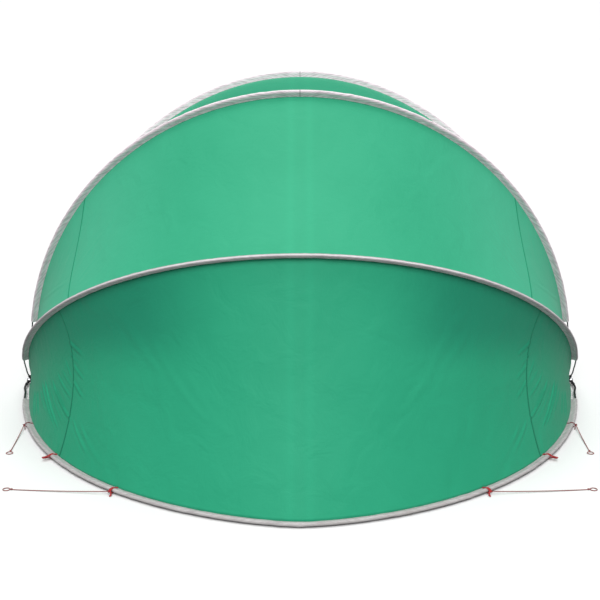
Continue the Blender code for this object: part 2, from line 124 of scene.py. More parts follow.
# ---------------- the curve of a hoop
class Hoop:
    """A hoop's curve. A share of its half length runs from 0 at a hub to 1 at the crown."""

    def __init__(self, lane, name, body, angle, curve, pole_radius, sleeve_start):
        self.name, self.body, self.lane = name, body, lane
        self.pole_radius, self.sleeve_start = pole_radius, sleeve_start
        reach, splay, leg, crown = curve
        self.foot = HALF_WIDTH - lane * LANE
        leg_end = (self.foot + leg * sin(splay), leg * cos(splay))
        self.controls = np.array(((self.foot, 0.0), leg_end, (crown, reach), (0.0, reach)))
        self.ts = np.linspace(0, 1, 2001)
        self.distances = distances_along(self.bezier(self.ts))
        self.length = self.distances[-1]
        turn = radians(angle)
        self.out = np.array((0.0, -cos(turn), sin(turn)))
        self.up = np.array((0.0, sin(turn), cos(turn)))

    def bezier(self, t):
        a, b, c, d = self.controls
        t = np.asarray(t)[..., None]
        return (1 - t) ** 3 * a + 3 * (1 - t) ** 2 * t * b + 3 * (1 - t) * t * t * c + t ** 3 * d

    def run(self, t):
        a, b, c, d = self.controls
        t = np.asarray(t)[..., None]
        way = (1 - t) ** 2 * (b - a) + 2 * (1 - t) * t * (c - b) + t * t * (d - c)
        return way / np.linalg.norm(way, axis=-1, keepdims=True)

    def at(self, share, side, inward=0.0, off=0.0):
        """Points in the shelter's frame: inward of the pole and off the hoop's plane."""
        past = share > 1
        share, side = np.where(past, 2 - share, share), np.where(past, -side, side)
        t = np.interp(share * self.length, self.distances, self.ts)
        point, run = self.bezier(t), self.run(t)
        x = side * (point[..., 0] - inward * run[..., 1])
        reach = point[..., 1] + inward * run[..., 0]
        off = np.broadcast_to(off, reach.shape)
        across = np.stack((x, 0 * x, 0 * x), axis=-1)
        return HUB + across + reach[..., None] * self.out + off[..., None] * self.up

    def pole_at(self, distance, side):
        """The pole's centre line, which leaves the socket straight."""
        curved = self.at(distance / self.length, side)
        foot = HUB + np.array((side * self.foot, 0, 0))
        straight = foot + distance[..., None] * self.out
        blend = smooth((distance - POLE_STRAIGHT) / (POLE_CURVED - POLE_STRAIGHT))[..., None]
        return straight + (curved - straight) * blend

    def edge_setback(self, share):
        """Pole to the cloth's edge: tucked in the sleeve, and closer where the pole is bare."""
        start = PANEL_START / self.length
        along = np.clip((share - start) / (self.sleeve_start / self.length - start), 0, 1)
        return EDGE_NEAR_HUB + (EDGE_IN_SEAM - EDGE_NEAR_HUB) * along


def smooth(x):
    x = np.clip(x, 0, 1)
    return x * x * (3 - 2 * x)


def distances_along(points):
    steps = np.linalg.norm(np.diff(np.asarray(points, float), axis=0), axis=1)
    return np.concatenate(([0.0], np.cumsum(steps)))


def to_hub(share):
    """The share of a half length to the nearer hub, where share 2 is the far hub."""
    return np.minimum(share, 2 - share)


def drop_angle(reach):
    return degrees(asin(GROUND_DROP / reach))


BACK, REAR, MIDDLE, FRONT, DOOR = HOOPS = [Hoop(lane, *spec) for lane, spec in enumerate((
    ("back_base", "ground_frame", -drop_angle(BACK_CURVE[0]), BACK_CURVE, BASE_POLE_RADIUS,
     BASE_SLEEVE_START),
    ("rear_hoop", "rear_hoop", REAR_ANGLE, HOOP_CURVE, HOOP_POLE_RADIUS, REAR_SLEEVE_START),
    ("middle_hoop", "middle_hoop", MIDDLE_ANGLE, HOOP_CURVE, HOOP_POLE_RADIUS,
     TOP_SLEEVE_START),
    ("front_hoop", "front_hoop", FRONT_ANGLE, HOOP_CURVE, HOOP_POLE_RADIUS, TOP_SLEEVE_START),
    ("front_base", "front_base", 180 + drop_angle(HOOP_CURVE[0]), HOOP_CURVE,
     BASE_POLE_RADIUS, BASE_SLEEVE_START)))]
SIDES = ((-1, "left"), (1, "right"))


# ---------------- node materials
def node(kind, inputs, **settings):
    """A node in the tree that its inputs come from."""
    tree = next(v.id_data for v in inputs.values() if isinstance(v, bpy.types.NodeSocket))
    made = tree.nodes.new("ShaderNode" + kind)
    for key, value in settings.items():
        setattr(made, key, value)
    for key, value in inputs.items():
        if isinstance(value, bpy.types.NodeSocket):
            tree.links.new(value, made.inputs[key])
        else:
            made.inputs[key].default_value = value
    return made


def calc(operation, *values):
    return node("Math", dict(enumerate(values)), operation=operation).outputs[0]


def noise(at, scale, detail=3.0, roughness=0.55, distortion=0.0):
    inputs = {"Vector": at, "Scale": scale, "Detail": detail, "Roughness": roughness,
              "Distortion": distortion}
    return node("TexNoise", inputs).outputs["Fac"]


def stretched(at, x, y, z=1.0):
    return node("Mapping", {"Vector": at, "Scale": (x, y, z)}).outputs["Vector"]


def yarns(at, pitch, direction):
    """Parallel ridges of that pitch, as high values."""
    bands = 2 * pi / 20 / pitch
    return node("TexWave", {"Vector": at, "Scale": bands, "Distortion": 0.0},
                bands_direction=direction).outputs["Fac"]


def tint(fac, low_color, high_color, low_at=0.3, high_at=0.7):
    ramp = node("ValToRGB", {"Fac": fac})
    first, last = ramp.color_ramp.elements
    first.position, last.position = low_at, high_at
    first.color, last.color = (*low_color, 1), (*high_color, 1)
    return ramp.outputs["Color"]


def mixed(fac, one, other):
    made = node("Mix", {"Factor": fac}, data_type="RGBA")
    for socket, value in (("A_Color", one), ("B_Color", other)):
        target = next(s for s in made.inputs if s.identifier == socket)
        if isinstance(value, bpy.types.NodeSocket):
            made.id_data.links.new(value, target)
        else:
            target.default_value = (*value, 1)
    return next(s for s in made.outputs if s.identifier == "Result_Color")


def ranged(value, low, high, to_low=0.0, to_high=1.0, **settings):
    """The value, with low to high spread over to_low to to_high and held beyond them."""
    inputs = {"Value": value, "From Min": low, "From Max": high, "To Min": to_low,
              "To Max": to_high}
    return node("MapRange", inputs, **settings).outputs["Result"]


def times(*values):
    return calc("MULTIPLY", *values)


def scaled(color, by):
    return tuple(np.multiply(color, by).tolist())


def bump(height, distance, strength=1.0, under=None):
    inputs = {"Height": height, "Distance": distance, "Strength": strength}
    if under is not None:
        inputs["Normal"] = under
    return node("Bump", inputs).outputs["Normal"]


def camera_ray(tree):
    return tree.nodes.new("ShaderNodeLightPath").outputs["Is Camera Ray"]


def new_material(name, coordinates="UV"):
    made = bpy.data.materials.new(name)
    made.use_nodes = True
    return made, made.node_tree.nodes.new("ShaderNodeTexCoord").outputs[coordinates]


def finished(made, color, roughness, normal, **sockets):
    tree = made.node_tree
    shader = tree.nodes["Principled BSDF"]
    for name, value in (("Base Color", color), ("Roughness", roughness), ("Normal", normal)):
        if isinstance(value, bpy.types.NodeSocket):
            tree.links.new(value, shader.inputs[name])
        elif value is not None:
            shader.inputs[name].default_value = value
    for name, value in sockets.items():
        shader.inputs[name.replace("_", " ").title().replace("Ior", "IOR")].default_value = value
    return made


def cloth_material(name, dark, light, roughness, pitch, crumple, sheen, fold_highlight_at=None,
                   painted_shading=None):
    """Woven cloth: yarns both ways, soft creases, uneven dye, and painted highlights beside its fold.

    painted_shading is (amount, tone, distances from the crown, heights) of where painted light and shade
    tint it.
    """
    made, at = new_material(name)
    place = node("SeparateXYZ", {"Vector": at}).outputs
    aside = calc("ABSOLUTE", place["X"])
    warp, weft = yarns(at, pitch, "X"), yarns(at, pitch * 1.15, "Y")
    weave = calc("MAXIMUM", warp, weft)
    slub = noise(stretched(at, 26.0, 320.0), 1.0, detail=2.0)
    color = tint(noise(at, 2.3, detail=4.0), dark, light)
    color = mixed(times(slub, 0.35), color, scaled(dark, 0.9))
    if painted_shading is not None:
        # painted light and shade: the colour turns to the tone away from the crown, above the given heights
        amount, tone, distances, heights = painted_shading
        far = ranged(aside, *distances, to_high=amount, interpolation_type="SMOOTHSTEP")
        above = ranged(place["Y"], *heights, interpolation_type="SMOOTHSTEP")
        color = mixed(times(far, above), color, tone)
    # painted highlight: lighter bands on both sides of the fold along the crown
    if fold_highlight_at is not None:
        off = calc("SUBTRACT", aside, fold_highlight_at)
        fold_highlight_band = calc("EXPONENT", times(times(off, off), -1 / FOLD_HIGHLIGHT_WIDTH ** 2))
        color = mixed(times(fold_highlight_band, 0.10), color, scaled(light, 1.35))
    creases = noise(at, 9.0, detail=4.0, roughness=0.5, distortion=0.6)
    normal = bump(creases, crumple)
    normal = bump(weave, pitch * 0.12, strength=0.5, under=normal)
    rough = ranged(slub, 0.0, 1.0, roughness - 0.06, roughness + 0.08)
    return finished(made, color, rough, normal, sheen_weight=sheen, sheen_roughness=0.45,
                    specular_ior_level=0.2)


def stitched_material(name, dark, light, thread, rows, pitch, dirt=0.0, crease_shade=0.0,
                      pole_shade=0.0, joined=False):
    """Sewn binding: cloth with rows of stitches at these heights in the UV map."""
    made, at = new_material(name)
    place = node("SeparateXYZ", {"Vector": at}).outputs
    weave = calc("MAXIMUM", yarns(at, pitch, "X"), yarns(at, pitch, "Y"))
    color = tint(noise(stretched(at, 14.0, 60.0), 1.0, detail=4.0), dark, light)
    mirrored = node("VectorMath", {0: at}, operation="ABSOLUTE").outputs[0]
    slanted = node("Mapping", {"Vector": mirrored, "Rotation": (0, 0, STREAK_SLANT),
                               "Scale": (STREAK_LENGTH, STREAK_WIDTH, 1.0)},
                   vector_type="TEXTURE").outputs["Vector"]
    pulled = noise(slanted, 1.0, detail=2.0, roughness=0.5)
    below_nose = ranged(place["Y"], 0.0290, 0.0315, 1.0, 0.0)
    # painted shade in the slanted creases, kept off the nose
    if crease_shade:
        shade = times(ranged(pulled, 0.44, 0.60, to_high=crease_shade), below_nose)
        color = mixed(shade, color, scaled(dark, (0.56, 0.50, 0.53)))
    # painted shade on the tube over the pole, kept off its nose
    if pole_shade:
        over_pole = ranged(place["Y"], 0.019, 0.025, to_high=pole_shade)
        color = mixed(times(over_pole, below_nose), color, scaled(dark, 0.35))
    if joined:
        join = calc("COMPARE", place["X"], 0.0, 0.0016)
        color = mixed(times(join, 0.55), color, (0.12, 0.12, 0.13))
    if dirt:
        grime = ranged(noise(at, 7.0, detail=5.0), 0.48, 0.75, to_high=dirt)
        color = mixed(grime, color, (0.30, 0.27, 0.23))
    dash = calc("LESS_THAN", calc(
        "FRACT", calc("DIVIDE", place["X"], STITCH_PITCH)), 0.68)
    first, second = (calc("COMPARE", place["Y"], row, 0.00045) for row in rows)
    stitches = times(calc("MAXIMUM", first, second), dash)
    color = mixed(times(stitches, 0.8), color, thread)
    puckers = noise(stretched(at, 110.0, 45.0), 1.0, detail=3.0)
    normal = bump(puckers, 0.0012, strength=0.55)
    normal = bump(pulled, 0.0022, strength=0.7, under=normal)
    normal = bump(weave, pitch * 0.15, strength=0.5, under=normal)
    normal = bump(stitches, 0.0005, under=normal)
    return finished(made, color, 0.72, normal, specular_ior_level=0.2)


def moulded_material(name, dark, light, roughness, coat=0.0):
    """Black moulded plastic or resin: fine grain, scuffs, and uneven gloss."""
    made, at = new_material(name, "Object")
    grain, scuffs = noise(at, 900.0), noise(at, 60.0, detail=6.0, roughness=0.7)
    color = tint(scuffs, dark, light, 0.45, 0.8)
    rough = ranged(scuffs, 0.3, 0.75, roughness - 0.1, roughness + 0.15)
    normal = bump(grain, 0.0001, strength=0.6)
    return finished(made, color, rough, normal, coat_weight=coat, coat_roughness=0.25)


def metal_material(name, dark, light, roughness):
    """Brushed and lightly worn metal."""
    made, at = new_material(name, "Object")
    brushed = noise(stretched(at, 60.0, 1800.0, 1800.0), 1.0, detail=2.0)
    spots = noise(at, 140.0, detail=5.0)
    color = mixed(times(spots, 0.6), tint(brushed, dark, light), dark)
    rough = ranged(spots, 0.0, 1.0, roughness - 0.08, roughness + 0.15)
    return finished(made, color, rough, bump(brushed, 0.00005), metallic=1.0)


def webbing_material(name, dark, light, pitch):
    """Flat webbing or cord: slanted yarns both ways, as a braid or herringbone shows."""
    made, at = new_material(name)
    left = yarns(at, pitch, "DIAGONAL")
    right = yarns(stretched(at, 1.0, -1.0), pitch, "DIAGONAL")
    braid = calc("MAXIMUM", left, right)
    wear = times(noise(at, 120.0, detail=4.0), 0.5)
    color = mixed(wear, tint(braid, dark, light, 0.1, 0.8), dark)
    normal = bump(braid, pitch * 0.3, strength=0.8)
    return finished(made, color, 0.7, normal, sheen_weight=0.1, sheen_roughness=0.5)


CANOPY_WEAVE = {"roughness": 0.56, "pitch": 0.0008, "crumple": 0.0045, "sheen": 0.04,
                "fold_highlight_at": 0.032}
CANOPY = cloth_material("canopy_cloth", (0.022, 0.372, 0.200), (0.028, 0.405, 0.222),
                        **CANOPY_WEAVE)
# the back has painted shade, deepening towards its upper corners
BACK_CANOPY = cloth_material(
    "back_canopy_cloth", (0.022, 0.372, 0.200), (0.028, 0.405, 0.222), **CANOPY_WEAVE,
    painted_shading=(0.8, (0.012, 0.250, 0.145), (0.18, 0.60), (0.02, 0.20)))
# the roof is a paler copy of the canopy cloth with painted light, paler still towards the hubs
ROOF_CANOPY = cloth_material(
    "roof_canopy_cloth", (0.030, 0.380, 0.204), (0.038, 0.415, 0.228), **CANOPY_WEAVE,
    painted_shading=(0.85, (0.075, 0.520, 0.310), (0.35, 0.95), (-1.0, -0.6)))
CANOPY_STITCHES = {"thread": (0.014, 0.25, 0.14), "rows": (0.0018, SEAM_WIDTH - 0.0018),
                   "pitch": 0.0008}
CANOPY_SEAM = stitched_material("canopy_seam", (0.020, 0.325, 0.176), (0.025, 0.36, 0.196),
                                **CANOPY_STITCHES)
# the back's seams are a darker copy of the same seam cloth: painted shade
BACK_CANOPY_SEAM = stitched_material("back_canopy_seam", (0.013, 0.215, 0.120),
                                     (0.017, 0.245, 0.136), **CANOPY_STITCHES)
BINDING_STITCHES = {"rows": (0.0035, 0.0062), "pitch": 0.0009}
# the middle and front sleeves are a near-white copy of the rear sleeve's cloth, painted light standing in
# for light through their double layer
SLEEVE = stitched_material("sleeve_cloth", (0.95, 0.82, 0.88), (1.00, 0.90, 0.95),
                           (0.50, 0.49, 0.50), **BINDING_STITCHES, crease_shade=0.55,
                           pole_shade=0.20, joined=True)
REAR_SLEEVE = stitched_material("rear_sleeve_cloth", (0.70, 0.66, 0.68), (0.82, 0.78, 0.80),
                                (0.45, 0.45, 0.46), **BINDING_STITCHES, crease_shade=0.6,
                                pole_shade=0.62)
HEM = stitched_material("hem_cloth", (0.49, 0.47, 0.47), (0.58, 0.56, 0.56),
                        (0.38, 0.375, 0.38), **BINDING_STITCHES, dirt=0.25, crease_shade=0.35)
FLOOR_SHEET = cloth_material("groundsheet_cloth", (0.36, 0.37, 0.38), (0.46, 0.47, 0.48), 0.5,
                             0.0014, 0.004, 0.05)
POLE = moulded_material("pole_resin", (0.008, 0.008, 0.009), (0.03, 0.03, 0.032), 0.34, 0.4)
SOCKET = moulded_material("socket_plastic", (0.010, 0.010, 0.011), (0.04, 0.04, 0.042), 0.5)
STEEL = metal_material("hub_steel", (0.42, 0.43, 0.45), (0.70, 0.71, 0.73), 0.34)
FERRULE = metal_material("ferrule_metal", (0.50, 0.50, 0.51), (0.72, 0.72, 0.73), 0.3)
RED = webbing_material("red_webbing", (0.24, 0.006, 0.008), (0.52, 0.016, 0.02), 0.0016)
DARK_RED = webbing_material("dark_red_cord", (0.12, 0.006, 0.010), (0.26, 0.02, 0.025), 0.0012)
CORD = webbing_material("guy_cord", (0.24, 0.06, 0.06), (0.44, 0.16, 0.15), 0.0012)


# ---------------- mesh helpers
def put(name, data):
    made = bpy.data.objects.new(name, data)
    bpy.context.scene.collection.objects.link(made)
    return made


def link(mesh, material, flat_angle=None):
    """A mesh as an object of its own name."""
    made = put(mesh.name, mesh)
    mesh.materials.append(material)
    mesh.shade_smooth()
    if flat_angle is not None:
        mesh.set_sharp_from_angle(angle=radians(flat_angle))
    return made


def grid_mesh(name, points, uv, wrap_rows=False, wrap_columns=False):
    """A mesh from a (rows, columns, 3) block of points, with its UV map in metres."""
    rows, columns = points.shape[:2]
    verts = points.reshape(-1, 3)
    index = np.arange(rows * columns).reshape(rows, columns)
    if wrap_rows:
        index = np.vstack((index, index[:1]))
    if wrap_columns:
        index = np.hstack((index, index[:, :1]))
    corners = (index[:-1, :-1], index[:-1, 1:], index[1:, 1:], index[1:, :-1])
    faces = np.stack(corners, axis=-1).reshape(-1, 4)
    mesh = bpy.data.meshes.new(name)
    mesh.from_pydata(verts.tolist(), [], faces.tolist())
    layer = mesh.uv_layers.new(name="UVMap")
    flat_uv = uv.reshape(-1, 2)
    layer.data.foreach_set("uv", flat_uv[faces.ravel()].astype(np.float32).ravel())
    return mesh


@contextmanager
def editing(mesh):
    """The mesh as a bmesh, written back with its faces turned outward."""
    shape = bmesh.new()
    shape.from_mesh(mesh)
    shape.verts.ensure_lookup_table()
    yield shape
    bmesh.ops.recalc_face_normals(shape, faces=shape.faces)
    shape.to_mesh(mesh)
    shape.free()


def uv_grid(u, v):
    return np.stack(np.broadcast_arrays(u[:, None], v[None, :]), axis=-1)


def frames(points, up, closed):
    """Unit vectors across and up at each point of a path, turned as little as possible."""
    if closed:
        along = np.roll(points, -1, axis=0) - np.roll(points, 1, axis=0)
    else:
        along = np.gradient(points, axis=0)
    along /= np.linalg.norm(along, axis=1, keepdims=True)
    ups = np.empty_like(points)
    last = np.array(up, float)
    for i, way in enumerate(along):
        last = last - way * (last @ way)
        last /= np.linalg.norm(last)
        ups[i] = last
    return np.cross(along, ups), ups


def sweep(name, points, outline, material, up=(0, 0, 1), closed=False, flat_angle=None):
    """An outline of (across, up) points swept along a path. The UV map is in metres."""
    across, ups = frames(points, up, closed)
    block = points[:, None] + across[:, None] * outline[:, :1] + ups[:, None] * outline[:, 1:]
    uv = uv_grid(distances_along(points), distances_along(outline))
    mesh = grid_mesh(name, block, uv, wrap_rows=closed, wrap_columns=True)
    count = len(outline)
    with editing(mesh) as shape:
        for start in () if closed else (0, (len(points) - 1) * count):
            shape.faces.new(shape.verts[start:start + count])
    return link(mesh, material, flat_angle)


def circle(radius, sides=12):
    turns = np.arange(sides) * 2 * pi / sides
    return np.stack((radius * np.cos(turns), radius * np.sin(turns)), axis=-1)


def band_outline(width, thickness):
    """The cross-section of flat webbing, with rounded edges."""
    w, t = width / 2, thickness / 2
    return np.array(((-w, 0), (-w + t, t), (0, t * 1.15), (w - t, t), (w, 0), (w - t, -t),
                     (0, -t * 1.15), (-w + t, -t)))


def curve_through(points, count):
    """A smooth path through a few points (Catmull-Rom), with its ends kept."""
    points = np.asarray(points, float)
    padded = np.vstack((2 * points[0] - points[1], points, 2 * points[-1] - points[-2]))
    spans = len(points) - 1
    where = np.linspace(0, spans, count)
    which = np.minimum(where.astype(int), spans - 1)
    t = (where - which)[:, None]
    a, b, c, d = (padded[which + i] for i in range(4))
    return 0.5 * (2 * b + (c - a) * t + (2 * a - 5 * b + 4 * c - d) * t ** 2
                  + (3 * b - a - 3 * c + d) * t ** 3)


def lathe(name, profile, origin, axis, material, steps=32, closed=False):
    """A profile of (radius, height) points turned about an axis; closed joins its two ends."""
    profile = np.asarray(profile, float)
    axis = np.array(axis, float) / np.linalg.norm(axis)
    side = np.cross(axis, (0.0, 0.0, 1.0) if abs(axis[2]) < 0.9 else (1.0, 0.0, 0.0))
    side /= np.linalg.norm(side)
    other = np.cross(axis, side)
    turns = np.arange(steps) * 2 * pi / steps
    ring = np.cos(turns)[:, None] * side + np.sin(turns)[:, None] * other
    block = (origin + ring[:, None] * profile[None, :, :1]
             + axis * profile[None, :, 1:])
    uv = uv_grid(turns * profile[:, 0].max(), distances_along(profile))
    mesh = grid_mesh(name, block, uv, wrap_rows=True, wrap_columns=closed)
    with editing(mesh) as shape:
        bmesh.ops.remove_doubles(shape, verts=shape.verts, dist=1e-6)
        bmesh.ops.dissolve_degenerate(shape, dist=1e-7, edges=shape.edges)
    return link(mesh, material, 40)


def settle(pieces, body, node_name):
    """Puts pieces on a body, and hides the CAD node that they stand for."""
    for piece in pieces:
        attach(piece, body)
    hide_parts(node_name)


def waves(x, rows):
    """A smooth uneven line: a sum of sines of (length, height, phase)."""
    return sum(height * np.sin(2 * pi * x / length + phase) for length, height, phase in rows)


# ---------------- camera
CAMERA_BACK, CAMERA_RISE = 4.635, 1.517     # from the hubs' axis
CAMERA_TILT = 14.28     # degrees down from level
LENS = 71.5
FAR_END = 9000.0        # past the studio floor's edge


def add_camera():
    data = bpy.data.cameras.new("camera")
    data.lens = LENS
    data.clip_end = FAR_END
    camera = put("camera", data)
    camera.location = Vector(HUB) + Vector((0, -CAMERA_BACK, CAMERA_RISE))
    camera.rotation_euler = (radians(90 - CAMERA_TILT), 0, 0)
    bpy.context.scene.camera = camera


add_camera()


# ---------------- ties, guy lines and peg loops
def strap_frame(distance, side):
    """Where a strap goes round the hem: its origin, and unit vectors outward, up and along."""
    share = np.array(distance / BACK.length)
    origin = BACK.at(share, side)
    along = BACK.at(share + 0.01, side) - BACK.at(share - 0.01, side)
    along /= np.linalg.norm(along)
    out = np.cross(along, BACK.up) if side < 0 else np.cross(BACK.up, along)
    return origin, out, BACK.up, along


def placed(frame_of, points):
    """Local points (outward, up, along) of a strap in the shelter's frame."""
    origin, out, up, along = frame_of
    points = np.asarray(points, float)
    return origin + points[:, :1] * out + points[:, 1:2] * up + points[:, 2:3] * along


def hem_loop(nose, clear, count=40):
    """A path round the hem's section: behind the seam, over, round the nose and back under."""
    back, lip = -(SLEEVE_TAIL + 0.001), 0.0022
    radius = SLEEVE_RADIUS + clear
    top = [(back, lip), (-0.012, lip + 0.0018), (-0.003, radius)]
    if nose > 2 * radius:
        top += [(radius * 0.8, radius * 0.75), (radius * 1.7, 0.0026), (nose, 0.0016),
                (nose + radius - 0.0012, 0.0013), (nose + radius, 0.0)]
    else:
        top += [(nose * 0.5, radius * 0.97), (nose + radius * 0.55, radius * 0.72),
                (nose + radius, 0.0)]
    whole = top + [(x, -y) for x, y in top[-2::-1]]
    return curve_through([(x, y, 0) for x, y in whole], count)


def guy_path(frame_of, nose, end):
    start = placed(frame_of, [(nose + SLEEVE_RADIUS + STRAP_THICKNESS + CORD_RADIUS + 2 * GAP,
                               0, 0)])[0]
    t = np.linspace(0, 1, CORD_POINTS)[:, None]
    path = start + (np.array(end) - start) * t
    path[:, 2] = end[2] + (start[2] - end[2]) * (1 - t[:, 0]) ** 2
    return path


def add_cord_curve(name, path, radius, material):
    data = bpy.data.curves.new(name, "CURVE")
    data.dimensions = "3D"
    data.bevel_depth = radius
    data.bevel_resolution = 3
    data.use_fill_caps = True
    spline = data.splines.new("POLY")
    spline.points.add(len(path) - 1)
    for slot, point in zip(spline.points, path):
        slot.co = (*point, 1.0)
    data.materials.append(material)
    return put(name, data)


def knot_path(center, size, count=60):
    """A closed overhand knot (a trefoil)."""
    t = np.arange(count) * 2 * pi / count
    shape = np.stack((np.sin(t) + 2 * np.sin(2 * t), np.cos(t) - 2 * np.cos(2 * t),
                      -1.3 * np.sin(3 * t)), axis=-1)
    return center + shape * size / 3


def add_guy_line(kind, word, side, spec, material_knot):
    """The cord, its knot at the strap, and the ring that a peg goes through."""
    frame_of = strap_frame(spec[0], side)
    end = np.array((side * spec[3][0], spec[3][1], CORD_RADIUS + GAP))
    path = guy_path(frame_of, spec[2], end)
    name = f"{kind}_guy_{word}"
    line = add_cord_curve(name + "_line", path, CORD_RADIUS, CORD)
    flat = end - path[0]
    flat[2] = 0
    flat /= np.linalg.norm(flat)
    center = end + flat * (RING_RADIUS + CORD_RADIUS + GAP)
    ring_path = center + np.pad(circle(RING_RADIUS, 40), ((0, 0), (0, 1)))
    ring = sweep(name + "_eye", ring_path, circle(CORD_RADIUS), CORD, closed=True)
    low_knot = sweep(name + "_ring_knot", knot_path(end - flat * 0.004 + (0, 0, 0.0017), 0.003),
                     circle(CORD_RADIUS * 0.8, 8), CORD, closed=True)
    top_knot = sweep(name + "_tie_knot", knot_path(path[0], 0.0042),
                     circle(CORD_RADIUS * 1.05, 8), material_knot, closed=True)
    settle((line, low_knot, top_knot), "ground_frame", name)
    settle((ring,), "ground_frame", name + "_ring")
    return frame_of


def add_tie(kind, word, side, spec, material, outlines, clear, sway, tail, flat_angle=None):
    """The loop tied round the hem that a guy line starts from, and its tail."""
    frame_of = add_guy_line(kind, word, side, spec, material)
    loop = placed(frame_of, hem_loop(spec[2], clear))
    loop += np.sin(np.linspace(0, pi, len(loop)))[:, None] * sway * frame_of[3]
    name = f"{kind}_strap_{word}"
    tie = sweep(name + "_loop", loop, outlines[0], material,
                up=-frame_of[1] if flat_angle else (0, 0, 1), flat_angle=flat_angle)
    end = sweep(name + "_tail", placed(frame_of, tail), outlines[1], material,
                flat_angle=flat_angle)
    settle((tie, end), "ground_frame", name)


def add_peg_loop(word, side):
    """A webbing loop sewn behind the hem, standing out for a peg."""
    frame_of = strap_frame(PEG_LOOP[0], side)
    loop = placed(frame_of, hem_loop(PEG_LOOP[2], 0.0011, 56))
    strap = sweep(f"peg_loop_{word}_webbing", loop, band_outline(PEG_LOOP[1], STRAP_THICKNESS),
                  RED, up=-frame_of[1], flat_angle=50)
    settle((strap,), "ground_frame", f"peg_loop_{word}")


SIDE_TAIL = curve_through([(0.0125, 0.001, 0.001), (0.014, -0.002, 0.008),
                           (0.013, -0.0075, 0.016), (0.012, -0.0095, 0.022)], 14)
BACK_TAIL = curve_through([(0.0125, 0.001, 0.000), (0.017, 0.0, 0.009),
                           (0.0215, -0.005, 0.015), (0.028, -0.0085, 0.015)], 16)
for side, word in SIDES:
    add_tie("side", word, side, SIDE_TIE, DARK_RED, (circle(0.0015, 10), circle(0.0012, 10)),
            0.0017, 0.0022, SIDE_TAIL)
    add_tie("back", word, side, BACK_TIE, RED,
            (band_outline(BACK_TIE[1], STRAP_THICKNESS), band_outline(0.005, 0.0012)),
            0.0011, 0.0, BACK_TAIL, 50)
    add_peg_loop(word, side)


# ---------------- poles, sockets and hubs
def add_poles(hoop):
    for side, word in SIDES:
        distances = np.concatenate((
            np.linspace(POLE_START, POLE_CURVED, 18)[:-1],
            np.linspace(POLE_CURVED, hoop.length - GAP, 120)))
        pole = sweep(f"{hoop.name}_pole_{word}_rod", hoop.pole_at(distances, side),
                     circle(hoop.pole_radius, 16), POLE, up=hoop.up, flat_angle=60)
        settle((pole,), hoop.body, f"{hoop.name}_pole_{word}")


def socket_profile(bore):
    """(radius, distance from the hub axis) of the cup that holds a pole, flared at its mouth."""
    rim = SOCKET_LENGTH
    return ((0, 0.0098), (0.0040, 0.0098), (0.0043, 0.0125), (0.0043, 0.0150), (0.0054, 0.0170),
            (0.0056, 0.0205), (0.0050, 0.0225), (0.0051, 0.0360), (0.0055, 0.0440),
            (0.0054, rim - 0.0055), (0.0057, rim - 0.0025), (0.0058, rim - 0.0008),
            (0.0056, rim), (bore + 0.0008, rim), (bore, rim - 0.0012), (bore, 0.0178),
            (0, 0.0178))


def eye_profile():
    """(radius, place along the bolt) of the flat eye that turns on the hub bolt."""
    half, outer, inner, edge = 0.0052, 0.0092, 0.0035, 0.0010
    return ((inner, -half), (outer - edge, -half), (outer, -half + edge), (outer, half - edge),
            (outer - edge, half), (inner, half))


def add_sockets(hoop):
    for side, word in SIDES:
        foot = HUB + np.array((side * hoop.foot, 0, 0))
        cup = lathe(f"{hoop.name}_socket_{word}_cup", socket_profile(hoop.pole_radius + 0.0004),
                    foot, hoop.out, SOCKET)
        eye = lathe(f"{hoop.name}_socket_{word}_eye", eye_profile(), foot, (1, 0, 0), STEEL,
                    closed=True)
        settle((cup,), hoop.body, f"{hoop.name}_socket_{word}")
        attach(eye, hoop.body)


def add_hub_bolts():
    """Domed bolt heads outside, washers, and cap nuts inside."""
    lanes = len(HOOPS)
    outer, inner = LANE / 2, (lanes - 0.5) * LANE
    for side, word in SIDES:
        foot = HUB + np.array((side * HALF_WIDTH, 0, 0))
        axis = (side, 0, 0)
        head = ((0, 0.0093), (0.0030, 0.0092), (0.0056, 0.0086), (0.0074, 0.0074),
                (0.0080, 0.0062), (0.0080, outer), (0.0030, outer), (0.0030, -inner - 0.0050),
                (0, -inner - 0.0050))
        nut = ((0, -inner - 0.0053), (0.0034, -inner - 0.0053), (0.0034, -inner - 0.0006),
               (0.0096, -inner - 0.0006), (0.0096, -inner - 0.0018), (0.0078, -inner - 0.0018),
               (0.0078, -inner - 0.0048), (0.0062, -inner - 0.0060),
               (0.0050, -inner - 0.0078), (0.0028, -inner - 0.0089), (0, -inner - 0.0091))
        for kind, profile in (("bolt", head), ("nut", nut)):
            piece = lathe(f"hub_{kind}_{word}_turned", profile, foot, axis, STEEL)
            settle((piece,), "ground_frame", f"hub_{kind}_{word}")


for hoop in HOOPS:
    add_poles(hoop)
    add_sockets(hoop)
    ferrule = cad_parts[hoop.name + "_ferrule"]
    ferrule.data.materials.clear()
    ferrule.data.materials.append(FERRULE)
add_hub_bolts()


# ---------------- sleeves
def sleeve_outline():
    """Points (inward, off the plane) of the sleeve's outer and inner faces, in matching pairs."""
    turns = [radians(a) for a in range(72, 289, 24)]
    tail = [(SLEEVE_TAIL, 0.0), (SLEEVE_TAIL * 0.84, 0.0), (SLEEVE_TAIL * 0.68, 0.0002),
            (SLEEVE_TAIL * 0.52, 0.0009), (SLEEVE_TAIL * 0.36, 0.0029)]
    rows = []
    for thick in (BINDING, 0.0):
        top = [(x, y + SEAM_SLOT + thick) for x, y in tail]
        radius = SLEEVE_RADIUS - BINDING + thick
        ring = [(radius * cos(a), radius * sin(a)) for a in turns]
        rows.append(top + ring + [(x, -y) for x, y in top[::-1]])
    return np.array(rows)


INNER_FACE_SHIFT = 0.05     # the inner face's place in the UV map, clear of the outer one's
